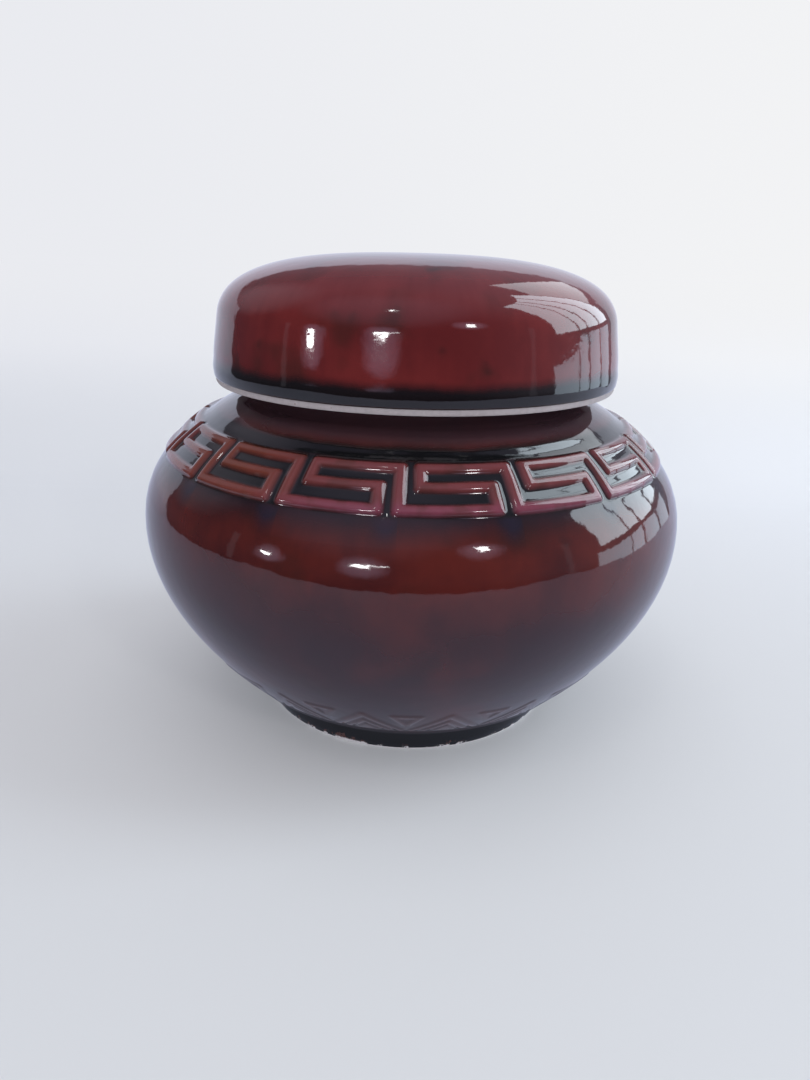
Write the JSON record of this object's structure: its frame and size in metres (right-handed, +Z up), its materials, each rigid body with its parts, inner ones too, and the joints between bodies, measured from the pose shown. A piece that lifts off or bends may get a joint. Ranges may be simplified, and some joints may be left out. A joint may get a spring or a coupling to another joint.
{
  "type": "lidded jar",
  "caption": "Round-bellied glazed earthenware storage jar with a deep cap lid, a key-fret band on the shoulder and a petal band above the foot ring.",
  "frame": {"origin": "on the table, under the middle of the foot ring", "axes": "+Z up along the jar's axis, -Y towards the front of the pictured view, +X to its right"},
  "size_m": [0.1354, 0.1354, 0.114],
  "materials": {
    "fired_clay": "matt, bare fired clay",
    "brown_glaze": "glossy red-brown glaze, black where it pools"
  },
  "bodies": {
    "jar": {"jar_clay": "fired_clay", "jar_glaze": "brown_glaze"},
    "lid": {"lid_clay": "fired_clay", "lid_outer_glaze": "brown_glaze", "lid_inner_glaze": "brown_glaze"}
  },
  "joints": [
    {"name": "lid_lift", "type": "slide", "parent": "jar", "child": "lid", "axis": [0, 0, 1], "range_m": [0, 0.1]}
  ]
}
